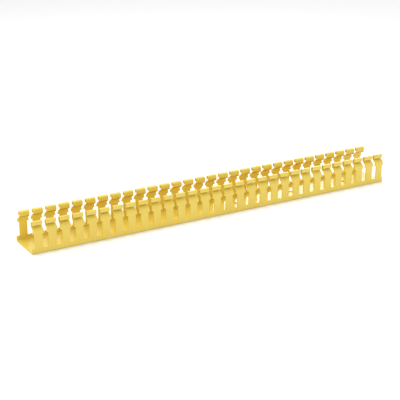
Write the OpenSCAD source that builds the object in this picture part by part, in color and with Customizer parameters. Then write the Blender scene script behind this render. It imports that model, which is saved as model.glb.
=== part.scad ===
// Slotted wire duct, base only: an open-top channel whose two side walls are punched into fingers.
// X runs along the duct, Y across it and Z up. The origin is the middle of the underside.

/* [Channel] */
// Length of the cut piece
duct_l = 598; // [300:1:1000]
// Outside width across the two walls
duct_w = 57.6; // [40:0.1:120]
// Height from the underside to the top of the fingers
duct_h = 45.3; // [40:0.1:100]
// Thickness of the side walls
wall_t = 2; // [1.4:0.1:2.6]
// Thickness of the floor
floor_t = 2; // [1.4:0.1:3]
// Outer radius of the two bottom corners
corner_r = 1.2; // [0.5:0.1:1.4]
// Radius of the fillet between floor and wall
fillet_r = 1; // [0.5:0.1:2]

/* [Cover rim] */
// Thickness of the material in the neck and the hook
rim_t = 1.7; // [1.2:0.1:2]
// Depth of the hook, from its outer lip to the inner face of the neck
hook_d = 5.8; // [5.4:0.1:7]
// Height of the hook's outer lip
lip_h = 6.1; // [4.5:0.1:7]
// Distance from the outer face of the wall back to the outer face of the lip
lip_back = 3.1; // [0.5:0.1:4]
// Outer radius of the bend from the neck to the top of the hook
crown_r = 3.6; // [2.1:0.1:3.8]
// Outer radius of the bend from the top of the hook to its lip
bend_r = 1.2; // [0.5:0.1:1.2]
// Radius of the lower end of the lip
lip_r = 0.5; // [0.2:0.1:0.6]
// Height of the latch groove under the lip
groove_h = 0.9; // [0.6:0.1:4]
// Height of the ramp that leads from the wall in to the groove
ramp_h = 4.9; // [2.5:0.1:6]
// Outer radius of the bend from the wall to the ramp
knee_r = 3; // [2.7:0.1:4]
// Radius of the bend from the ramp to the neck, on the inside of the duct
neck_r = 3.5; // [2.1:0.1:4]

/* [Slots] */
// Distance from one slot to the next
slot_pitch = 20; // [18:0.5:30]
// Distance from the start of the piece to the middle of its first slot
first_slot = 0.5; // [0:0.1:8]
// Width of a slot
slot_w = 8.4; // [6:0.1:9]
// Height of the uncut wall below the slots
rail_h = 7.3; // [5:0.1:12]
// Radius of the two lower corners of a slot
slot_r = 1.2; // [0.5:0.1:2.5]
// Distance from the top of the fingers down to the undersides of their shoulders
shoulder_drop = 17.4; // [14:0.1:20]
// Rise of the underside of a shoulder, from the side of the slot to the tip
shoulder_rise = 0.2; // [0:0.1:3]
// Radius of the shoulder tips
tip_r = 0.8; // [0.4:0.1:1.2]
// Width of the narrow throat between two shoulders
throat_w = 3; // [2:0.1:5]
// Height of the upper flank of a shoulder
flank_h = 5.4; // [2:0.1:6.5]
// Width of the gap between two fingers above their shoulders
head_gap = 5.2; // [5:0.1:8]
// Radius of the two upper corners of a finger
head_r = 0.7; // [0.3:0.1:2]

/* [Mounting holes] */
// Diameter of the holes in the floor
hole_d = 6.5; // [4:0.1:9]
// The first hole is in line with this slot, counted from the first one as 0
hole_first = 2; // [1:1:4]
// Slots from one hole to the next
hole_step = 5; // [3:1:8]

/* [Hidden] */
$fn = 32;
pvc = [0.89, 0.77, 0.36];
over = 1; // how far a cutter runs past the faces it cuts
lap = 0.5; // how far the neck runs up into the hook
start_x = -duct_l / 2;
neck_in = lip_back + hook_d; // inner face of the neck, from the outer face of the wall
neck_out = neck_in - rim_t;
lip_z = duct_h - lip_h;
groove_z = lip_z - groove_h;
ramp_z = groove_z - ramp_h;
half_lean = atan2(neck_out, ramp_h) / 2; // half of the ramp's angle from the upright
slot_n = ceil((duct_l - first_slot) / slot_pitch);
hole_n = floor(((duct_l - first_slot - hole_d) / slot_pitch - hole_first) / hole_step) + 1;

// Position along the duct of the slot with number i
function slot_x(i) = start_x + first_slot + i * slot_pitch;

// Point where a line from p touches the circle of radius r round c, on the side that turn gives (1 or -1)
function touch(p, c, r, turn) =
    let (v = p - c, a = atan2(v.y, v.x) + turn * acos(r / norm(v))) c + r * [cos(a), sin(a)];

// Region between the corner p, whose sides run towards a and b, and the circle of radius r that touches
// both sides: it fills a hollow corner, or cuts a sharp one round. The order p, a, b is counter-clockwise.
module corner(p, a, b, r) {
    u = (a - p) / norm(a - p);
    v = (b - p) / norm(b - p);
    half = acos(u * v) / 2;
    difference() {
        polygon([p, p + u * r / tan(half), p + v * r / tan(half)]);
        translate(p + (u + v) / norm(u + v) * r / sin(half)) circle(r);
    }
}

// Section of the hook on top of a finger, outer lip on x = 0, top edge on y = 0, open below
module hook_section() {
    difference() {
        translate([0, -lip_h]) square([hook_d, lip_h]);
        translate([rim_t, -lip_h - over]) square([hook_d - 2 * rim_t, lip_h + over - rim_t]);
        corner([0, 0], [0, -lip_h], [hook_d, 0], bend_r);
        corner([hook_d, 0], [0, 0], [hook_d, -lip_h], crown_r);
        corner([0, -lip_h], [rim_t, -lip_h], [0, 0], lip_r);
    }
    corner([hook_d - rim_t, -rim_t], [0, -rim_t], [hook_d - rim_t, -lip_h], crown_r - rim_t);
}

// Section of one side wall: outer face on x = 0, inside of the duct towards +x, height along y
module wall_section() {
    base = [0, 0];
    heel = [wall_t, floor_t];
    knee_out = [0, ramp_z];
    knee_in = [wall_t, ramp_z - wall_t * tan(half_lean)];
    bend_out = [neck_out, groove_z];
    bend_in = [neck_in, groove_z - rim_t * tan(half_lean)];
    difference() {
        union() {
            polygon([
                base, [wall_t + fillet_r, 0], [wall_t + fillet_r, floor_t], heel, knee_in, bend_in,
                [neck_in, lip_z + lap], [neck_out, lip_z + lap], bend_out, knee_out
            ]);
            translate([lip_back, duct_h]) hook_section();
        }
        corner(base, [duct_w, 0], knee_out, corner_r);
        corner(knee_out, base, bend_out, knee_r);
        corner(bend_in, [neck_in, duct_h], knee_in, neck_r);
    }
    corner(knee_in, bend_in, heel, knee_r - wall_t);
    corner(bend_out, [neck_out, duct_h], knee_out, neck_r - rim_t);
    corner(heel, [duct_w, floor_t], knee_in, fillet_r);
}

// The channel before it is punched
module channel() {
    floor_w = duct_w - 2 * wall_t;
    translate([start_x, -floor_w / 2, 0]) cube([duct_l, floor_w, floor_t]);
    for (side = [0, 1]) mirror([0, side, 0]) translate([start_x, -duct_w / 2, 0])
        rotate([90, 0, 90]) linear_extrude(duct_l) wall_section();
}

// Outline of one slot on the wall, middle of the slot on x = 0, height along y
module slot_outline() {
    corner = [slot_w / 2, duct_h - shoulder_drop];
    tip = [throat_w / 2 + tip_r, corner.y + shoulder_rise + tip_r];
    neck = [head_gap / 2, tip.y + flank_h];
    head = [head_gap / 2 + head_r, duct_h - head_r];
    lower = touch(corner, tip, tip_r, -1);
    upper = touch(neck, tip, tip_r, 1);
    difference() {
        polygon([
            [slot_w / 2, rail_h + slot_r], corner, lower, upper, neck,
            [neck.x, head.y], head, [head.x, duct_h + over],
            [-head.x, duct_h + over], [-head.x, head.y], [-neck.x, head.y],
            [-neck.x, neck.y], [-upper.x, upper.y], [-lower.x, lower.y], [-corner.x, corner.y],
            [-slot_w / 2, rail_h + slot_r]
        ]);
        for (side = [-1, 1]) {
            translate([side * tip.x, tip.y]) circle(tip_r);
            translate([side * head.x, head.y]) circle(head_r);
        }
    }
    translate([slot_r - slot_w / 2, rail_h]) square([slot_w - 2 * slot_r, slot_r]);
    for (side = [-1, 1]) translate([side * (slot_w / 2 - slot_r), rail_h + slot_r]) circle(slot_r);
}

// Cutters for the bits that no finger carries, between an end of the piece and a slot right next to it
module stub_cuts() {
    for (end = [-1, 1]) {
        x = slot_x(end < 0 ? 0 : slot_n - 1);
        stub = duct_l / 2 - end * x;
        if (stub > throat_w / 2 && stub < slot_w / 2)
            translate([end < 0 ? start_x - over : x, -duct_w / 2 - over, rail_h + slot_r])
                cube([stub + over, duct_w + 2 * over, duct_h]);
    }
}

// The punched channel
module duct_channel() color(pvc) difference() {
    channel();
    stub_cuts();
    for (i = [0 : slot_n]) translate([slot_x(i), duct_w / 2 + over, 0])
        rotate([90, 0, 0]) linear_extrude(duct_w + 2 * over) slot_outline();
    for (k = [0 : hole_n - 1]) translate([slot_x(hole_first + k * hole_step), 0, -over])
        cylinder(h = floor_t + 2 * over, d = hole_d);
}

duct_channel();
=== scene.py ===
"""Slotted wire duct: glossy yellow PVC on the punched channel, and a white studio round it."""
import math

import bpy
from bpy.props import FloatProperty, FloatVectorProperty, PointerProperty
from mathutils import Matrix, Vector


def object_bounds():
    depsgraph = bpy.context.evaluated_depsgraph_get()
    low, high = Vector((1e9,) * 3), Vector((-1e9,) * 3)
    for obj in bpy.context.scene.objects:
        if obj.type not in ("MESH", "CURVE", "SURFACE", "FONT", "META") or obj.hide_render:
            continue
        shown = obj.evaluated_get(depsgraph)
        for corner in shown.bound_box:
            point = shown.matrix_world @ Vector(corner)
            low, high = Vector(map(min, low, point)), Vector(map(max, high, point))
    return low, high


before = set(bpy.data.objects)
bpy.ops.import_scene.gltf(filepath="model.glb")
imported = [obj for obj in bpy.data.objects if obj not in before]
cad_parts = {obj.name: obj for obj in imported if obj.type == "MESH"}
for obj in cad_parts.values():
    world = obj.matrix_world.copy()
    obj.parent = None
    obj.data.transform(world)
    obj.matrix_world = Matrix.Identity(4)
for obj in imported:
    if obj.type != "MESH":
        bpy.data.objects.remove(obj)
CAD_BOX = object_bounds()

bl_info = {
    "name": "Slotted Wire Duct",
    "version": (1, 0, 0),
    "blender": (4, 5, 0),
    "location": "3D View > Sidebar > Duct",
    "description": "Dresses a slotted wire duct in glossy PVC and sets up its studio",
    "category": "Object",
}

CHANNEL = "duct_channel"

PVC_IOR = 1.54
CLOUD_SCALE = 22.0  # clouds to the metre
CLOUD_DETAIL = 3.0
CLOUD_ROUGHNESS = 0.6
CLOUD_TINT = (0.97, 0.93, 0.85)  # of the PVC colour, where the clouds are deepest
TINTED_CLOUDS = (0.35, 0.65)  # noise values between which the tint grows
ROUGHENED_CLOUDS = (0.3, 0.7)  # noise values between which the roughness grows
ROUGHNESS_SPREAD = (0.9, 1.15)  # of the roughness, from the palest clouds to the deepest
STREAK_STRETCH = 1.5  # die lines to the metre along the duct, where they hardly change
STREAK_DETAIL = 3.0
STREAK_BUMP = 0.35
GRAIN_SCALE = 1800.0  # grains to the metre on the sheared faces
SHEARED_LEAN = (0.25, 0.6)  # X of the normal, from an extruded face to a sheared one
BEVEL_SAMPLES = 4

FLOOR_ROUGHNESS = 0.9
FLOOR_SPECULAR = 0.2
FLOOR_MOTTLE_SCALE = 3.0
FLOOR_MOTTLE = 0.985  # of the floor colour
FLOOR_GAP = 0.00005  # keeps the floor off the plane of the duct's underside

SENSOR_WIDTH = 36.0  # in millimetres, as the focal length is
VIEW_DEPTH = 50.0  # in metres

MIX_FACTOR, MIX_A, MIX_B = 0, 6, 7  # inputs of the colour Mix node
MIX_RESULT = 2


# ---------------------------------------------------------------- settings


class DuctPlasticSettings(bpy.types.PropertyGroup):
    """Colour and finish of the extruded, punched and sawn PVC."""

    pvc_colour: FloatVectorProperty(
        name="PVC colour",
        description="Colour of the extruded faces",
        subtype="COLOR",
        size=3,
        min=0.0,
        max=1.0,
        default=(0.80, 0.61, 0.092),
    )
    punched_colour: FloatVectorProperty(
        name="Punched colour",
        description="Colour of the faces that the punch sheared",
        subtype="COLOR",
        size=3,
        min=0.0,
        max=1.0,
        default=(0.79, 0.59, 0.084),
    )
    roughness: FloatProperty(
        name="Roughness",
        description="Roughness of the extruded faces",
        subtype="FACTOR",
        min=0.05,
        max=1.0,
        default=0.18,
    )
    punched_roughness: FloatProperty(
        name="Punched roughness",
        description="Roughness of the sheared faces",
        subtype="FACTOR",
        min=0.05,
        max=1.0,
        default=0.55,
    )
    die_line_spacing: FloatProperty(
        name="Die line spacing",
        description="Typical distance between the fine lines that the die leaves along the duct",
        subtype="DISTANCE",
        unit="LENGTH",
        min=0.0001,
        max=0.01,
        default=0.0009,
    )
    die_line_depth: FloatProperty(
        name="Die line depth",
        description="Depth of the die lines",
        subtype="DISTANCE",
        unit="LENGTH",
        min=0.0,
        max=0.0005,
        default=0.00003,
    )
    arris_radius: FloatProperty(
        name="Arris radius",
        description="Radius of the worn edges between faces",
        subtype="DISTANCE",
        unit="LENGTH",
        min=0.0,
        max=0.001,
        default=0.0003,
    )


class StudioSettings(bpy.types.PropertyGroup):
    """Camera, lights and floor of the studio."""

    camera_azimuth: FloatProperty(
        name="Camera azimuth",
        description="Turn of the camera round the duct, from straight in front towards its start",
        subtype="ANGLE",
        default=math.radians(30.30),
    )
    camera_elevation: FloatProperty(
        name="Camera elevation",
        description="Angle by which the camera looks down",
        subtype="ANGLE",
        default=math.radians(20.05),
    )
    camera_distance: FloatProperty(
        name="Camera distance",
        description="Distance from the camera to its target",
        subtype="DISTANCE",
        unit="LENGTH",
        default=1.6136,
    )
    camera_target: FloatVectorProperty(
        name="Camera target",
        description="Point in the middle of the view",
        subtype="TRANSLATION",
        unit="LENGTH",
        size=3,
        default=(-0.02105, 0.00105, 0.01784),
    )
    focal_length: FloatProperty(
        name="Focal length",
        description="Focal length of the lens in millimetres",
        subtype="NONE",
        min=10.0,
        max=300.0,
        default=98.16,
    )
    floor_colour: FloatVectorProperty(
        name="Floor colour",
        description="Colour of the studio floor",
        subtype="COLOR",
        size=3,
        min=0.0,
        max=1.0,
        default=(0.96, 0.96, 0.96),
    )
    floor_width: FloatProperty(
        name="Floor width",
        description="Side of the square studio floor",
        subtype="DISTANCE",
        unit="LENGTH",
        default=14.0,
    )
    sky_strength: FloatProperty(
        name="Surround strength",
        description="Brightness of the white studio surround",
        min=0.0,
        max=5.0,
        default=0.92,
    )
    key_place: FloatVectorProperty(
        name="Key light place",
        description="Middle of the soft box above and behind the duct",
        subtype="TRANSLATION",
        unit="LENGTH",
        size=3,
        default=(0.0, 0.5, 1.15),
    )
    key_size: FloatVectorProperty(
        name="Key light size",
        description="Width and height of the soft box above and behind the duct",
        subtype="XYZ_LENGTH",
        unit="LENGTH",
        size=2,
        default=(1.4, 1.0),
    )
    key_power: FloatProperty(
        name="Key light power",
        description="Power of the soft box above and behind the duct",
        subtype="POWER",
        unit="POWER",
        min=0.0,
        max=500.0,
        default=10.5,
    )
    strip_place: FloatVectorProperty(
        name="Strip light place",
        description="Middle of the low strip that the glossy faces mirror",
        subtype="TRANSLATION",
        unit="LENGTH",
        size=3,
        default=(0.81, 0.90, 0.47),
    )
    strip_size: FloatVectorProperty(
        name="Strip light size",
        description="Width and height of the low strip",
        subtype="XYZ_LENGTH",
        unit="LENGTH",
        size=2,
        default=(0.55, 0.15),
    )
    strip_power: FloatProperty(
        name="Strip light power",
        description="Power of the low strip",
        subtype="POWER",
        unit="POWER",
        min=0.0,
        max=500.0,
        default=1.5,
    )


# ---------------------------------------------------------------- node helpers


def add_node(tree, kind, place, **values):
    """A node of that kind, with its settings and the defaults of its inputs."""
    node = tree.nodes.new(kind)
    node.location = place
    for name, value in values.items():
        if hasattr(node, name):
            setattr(node, name, value)
        else:
            node.inputs[name.replace("_", " ")].default_value = value
    return node


def feed(tree, socket, value):
    """Links another node's output to the socket, or sets the socket to a constant."""
    if isinstance(value, bpy.types.NodeSocket):
        tree.links.new(value, socket)
    else:
        socket.default_value = value


def noise(tree, place, vector, scale, detail=2.0, rough=0.5):
    """Noise at those coordinates."""
    node = add_node(tree, "ShaderNodeTexNoise", place, Scale=scale, Detail=detail, Roughness=rough)
    tree.links.new(vector, node.inputs["Vector"])
    return node.outputs["Fac"]


def stretched(tree, place, vector, scale):
    """The coordinates scaled along each axis, for streaks along the duct."""
    node = add_node(tree, "ShaderNodeMapping", place, Scale=scale)
    tree.links.new(vector, node.inputs["Vector"])
    return node.outputs["Vector"]


def span(tree, place, value, source, target):
    """Maps value from the source span to the target span, held at the ends."""
    node = add_node(tree, "ShaderNodeMapRange", place, From_Min=source[0], From_Max=source[1])
    node.inputs["To Min"].default_value, node.inputs["To Max"].default_value = target
    tree.links.new(value, node.inputs["Value"])
    return node.outputs["Result"]


def blend(tree, place, factor, a, b):
    """Colour mix of a and b; each is a socket or a colour."""
    node = add_node(tree, "ShaderNodeMix", place, data_type="RGBA")
    feed(tree, node.inputs[MIX_FACTOR], factor)
    feed(tree, node.inputs[MIX_A], a)
    feed(tree, node.inputs[MIX_B], b)
    return node.outputs[MIX_RESULT]


def maths(tree, place, operation, *operands):
    """Result of the operation on the operands; each is a socket or a number."""
    node = add_node(tree, "ShaderNodeMath", place, operation=operation)
    for socket, value in zip(node.inputs, operands):
        feed(tree, socket, value)
    return node.outputs["Value"]


# ---------------------------------------------------------------- materials


def sheared_mask(tree, coords):
    """1 on the sheared and sawn faces that look along the duct, and 0 on the extruded ones."""
    parts = add_node(tree, "ShaderNodeSeparateXYZ", (-1300, -400))
    tree.links.new(coords.outputs["Normal"], parts.inputs["Vector"])
    along = maths(tree, (-1100, -400), "ABSOLUTE", parts.outputs["X"])
    return span(tree, (-900, -400), along, SHEARED_LEAN, (0.0, 1.0))


def pvc_tone(tree, plastic, clouds, sheared):
    """Slightly clouded colour on the extruded faces, one shade on the sheared ones."""
    base = (*plastic.pvc_colour, 1.0)
    deep = (*(part * tint for part, tint in zip(plastic.pvc_colour, CLOUD_TINT)), 1.0)
    cloud_factor = span(tree, (-800, 0), clouds, TINTED_CLOUDS, (0.0, 1.0))
    tone = blend(tree, (-600, 100), cloud_factor, base, deep)
    return blend(tree, (-300, 100), sheared, tone, (*plastic.punched_colour, 1.0))


def pvc_roughness(tree, plastic, clouds, sheared):
    """Roughness that varies with the clouds, and is higher on the sheared faces."""
    spread = [plastic.roughness * part for part in ROUGHNESS_SPREAD]
    extruded = span(tree, (-600, -300), clouds, ROUGHENED_CLOUDS, spread)
    punched = maths(tree, (-450, -450), "MULTIPLY", sheared, plastic.punched_roughness)
    return maths(tree, (-300, -300), "MAXIMUM", extruded, punched)


def pvc_relief(tree, plastic, place, sheared):
    """Normal with worn edges, die lines along the duct and grain on the sheared faces."""
    lines = 1.0 / plastic.die_line_spacing
    along = stretched(tree, (-1300, 300), place, (STREAK_STRETCH, lines, lines))
    streaks = noise(tree, (-1100, 300), along, 1.0, STREAK_DETAIL)
    grain = noise(tree, (-1100, -700), place, GRAIN_SCALE)

    arris = add_node(tree, "ShaderNodeBevel", (-300, -700), samples=BEVEL_SAMPLES)
    arris.inputs["Radius"].default_value = plastic.arris_radius
    die = add_node(tree, "ShaderNodeBump", (0, -600), Strength=STREAK_BUMP)
    die.inputs["Distance"].default_value = plastic.die_line_depth
    tree.links.new(streaks, die.inputs["Height"])
    tree.links.new(arris.outputs["Normal"], die.inputs["Normal"])

    shear = add_node(tree, "ShaderNodeBump", (250, -600), Distance=plastic.die_line_depth)
    grain_height = maths(tree, (0, -850), "MULTIPLY", sheared, grain)
    tree.links.new(grain_height, shear.inputs["Height"])
    tree.links.new(die.outputs["Normal"], shear.inputs["Normal"])
    return shear.outputs["Normal"]


def pvc_material(plastic):
    """Extruded yellow PVC: glossy faces with fine die lines, duller sheared faces."""
    material = bpy.data.materials.new("glossy_yellow_pvc")
    material.use_nodes = True
    tree = material.node_tree
    shader = tree.nodes["Principled BSDF"]
    shader.inputs["IOR"].default_value = PVC_IOR

    coords = add_node(tree, "ShaderNodeTexCoord", (-1500, 0))
    place = coords.outputs["Object"]
    sheared = sheared_mask(tree, coords)
    clouds = noise(tree, (-1100, 0), place, CLOUD_SCALE, CLOUD_DETAIL, CLOUD_ROUGHNESS)
    tree.links.new(pvc_tone(tree, plastic, clouds, sheared), shader.inputs["Base Color"])
    tree.links.new(pvc_roughness(tree, plastic, clouds, sheared), shader.inputs["Roughness"])
    tree.links.new(pvc_relief(tree, plastic, place, sheared), shader.inputs["Normal"])
    return material


def floor_material(studio):
    """Matt white floor with a trace of mottling."""
    material = bpy.data.materials.new("studio_floor_white")
    material.use_nodes = True
    tree = material.node_tree
    shader = tree.nodes["Principled BSDF"]
    shader.inputs["Roughness"].default_value = FLOOR_ROUGHNESS
    shader.inputs["Specular IOR Level"].default_value = FLOOR_SPECULAR
    coords = add_node(tree, "ShaderNodeTexCoord", (-800, 0))
    soft = noise(tree, (-600, 0), coords.outputs["Object"], FLOOR_MOTTLE_SCALE)
    white = (*studio.floor_colour, 1.0)
    tint = (*(part * FLOOR_MOTTLE for part in studio.floor_colour), 1.0)
    tree.links.new(blend(tree, (-300, 0), soft, white, tint), shader.inputs["Base Color"])
    return material


# ---------------------------------------------------------------- studio


def build_floor(scene, studio):
    """The square floor under the duct."""
    half = studio.floor_width / 2
    mesh = bpy.data.meshes.new("studio_floor")
    corners = [(-half, -half, 0.0), (half, -half, 0.0), (half, half, 0.0), (-half, half, 0.0)]
    mesh.from_pydata(corners, [], [(0, 1, 2, 3)])
    mesh.materials.append(floor_material(studio))
    floor = bpy.data.objects.new("studio_floor", mesh)
    floor.location.z = CAD_BOX[0][2] - FLOOR_GAP
    scene.collection.objects.link(floor)


def soft_box(scene, name, place, size, power):
    """A rectangular soft light that looks at the duct and doesn't show in the view."""
    light = bpy.data.lights.new(name, "AREA")
    light.shape = "RECTANGLE"
    light.size, light.size_y = size
    light.energy = power
    lamp = bpy.data.objects.new(name, light)
    lamp.location = place
    lamp.rotation_euler = (-lamp.location).to_track_quat("-Z", "Y").to_euler()
    lamp.visible_camera = False
    scene.collection.objects.link(lamp)


def build_lights(scene, studio):
    """The white surround, the soft box above and behind, and the low strip."""
    world = bpy.data.worlds.new("studio_surround")
    world.use_nodes = True
    background = world.node_tree.nodes["Background"]
    background.inputs["Color"].default_value = (1.0, 1.0, 1.0, 1.0)
    background.inputs["Strength"].default_value = studio.sky_strength
    scene.world = world
    soft_box(scene, "key_soft_box", studio.key_place, studio.key_size, studio.key_power)
    soft_box(scene, "low_strip", studio.strip_place, studio.strip_size, studio.strip_power)


def build_camera(scene, studio):
    """The camera, turned and raised round its target."""
    turn, rise = studio.camera_azimuth, studio.camera_elevation
    right = Vector((math.cos(turn), -math.sin(turn), 0.0))
    back = Vector((-math.sin(turn) * math.cos(rise), -math.cos(turn) * math.cos(rise), math.sin(rise)))
    matrix = Matrix((right, back.cross(right), back)).transposed().to_4x4()
    matrix.translation = Vector(studio.camera_target) + back * studio.camera_distance
    camera = bpy.data.cameras.new("studio_camera")
    camera.lens = studio.focal_length
    camera.sensor_width = SENSOR_WIDTH
    camera.clip_end = VIEW_DEPTH
    holder = bpy.data.objects.new("studio_camera", camera)
    holder.matrix_world = matrix
    scene.collection.objects.link(holder)
    scene.camera = holder


# ---------------------------------------------------------------- operators


class DUCT_OT_channel(bpy.types.Operator):
    """Gives the punched channel its glossy PVC"""

    bl_idname = "duct.channel"
    bl_label = "Finish the channel"

    def execute(self, context):
        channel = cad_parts[CHANNEL]
        material = pvc_material(context.scene.duct_plastic)
        channel.data.materials.clear()
        channel.data.materials.append(material)
        for face in channel.data.polygons:
            face.material_index = 0
        return {"FINISHED"}


class DUCT_OT_studio(bpy.types.Operator):
    """Builds the white floor, the soft lights and the camera"""

    bl_idname = "duct.studio"
    bl_label = "Set up the studio"

    def execute(self, context):
        scene = context.scene
        build_floor(scene, scene.duct_studio)
        build_lights(scene, scene.duct_studio)
        build_camera(scene, scene.duct_studio)
        scene.view_settings.view_transform = "Standard"
        return {"FINISHED"}


class DUCT_PT_sidebar(bpy.types.Panel):
    """Lists the steps and the settings of the duct"""

    bl_idname = "DUCT_PT_sidebar"
    bl_label = "Slotted Wire Duct"
    bl_space_type = "VIEW_3D"
    bl_region_type = "UI"
    bl_category = "Duct"

    def draw(self, context):
        layout = self.layout
        for operator in (DUCT_OT_channel, DUCT_OT_studio):
            layout.operator(operator.bl_idname)
        for group in (context.scene.duct_plastic, context.scene.duct_studio):
            box = layout.box()
            for name in group.bl_rna.properties.keys():
                if name not in ("rna_type", "name"):
                    box.prop(group, name)


CLASSES = (DuctPlasticSettings, StudioSettings, DUCT_OT_channel, DUCT_OT_studio, DUCT_PT_sidebar)


def register():
    for cls in CLASSES:
        bpy.utils.register_class(cls)
    bpy.types.Scene.duct_plastic = PointerProperty(type=DuctPlasticSettings)
    bpy.types.Scene.duct_studio = PointerProperty(type=StudioSettings)


def unregister():
    del bpy.types.Scene.duct_studio
    del bpy.types.Scene.duct_plastic
    for cls in reversed(CLASSES):
        bpy.utils.unregister_class(cls)


def main():
    register()
    bpy.ops.duct.channel()
    bpy.ops.duct.studio()


if __name__ == "__main__":
    main()
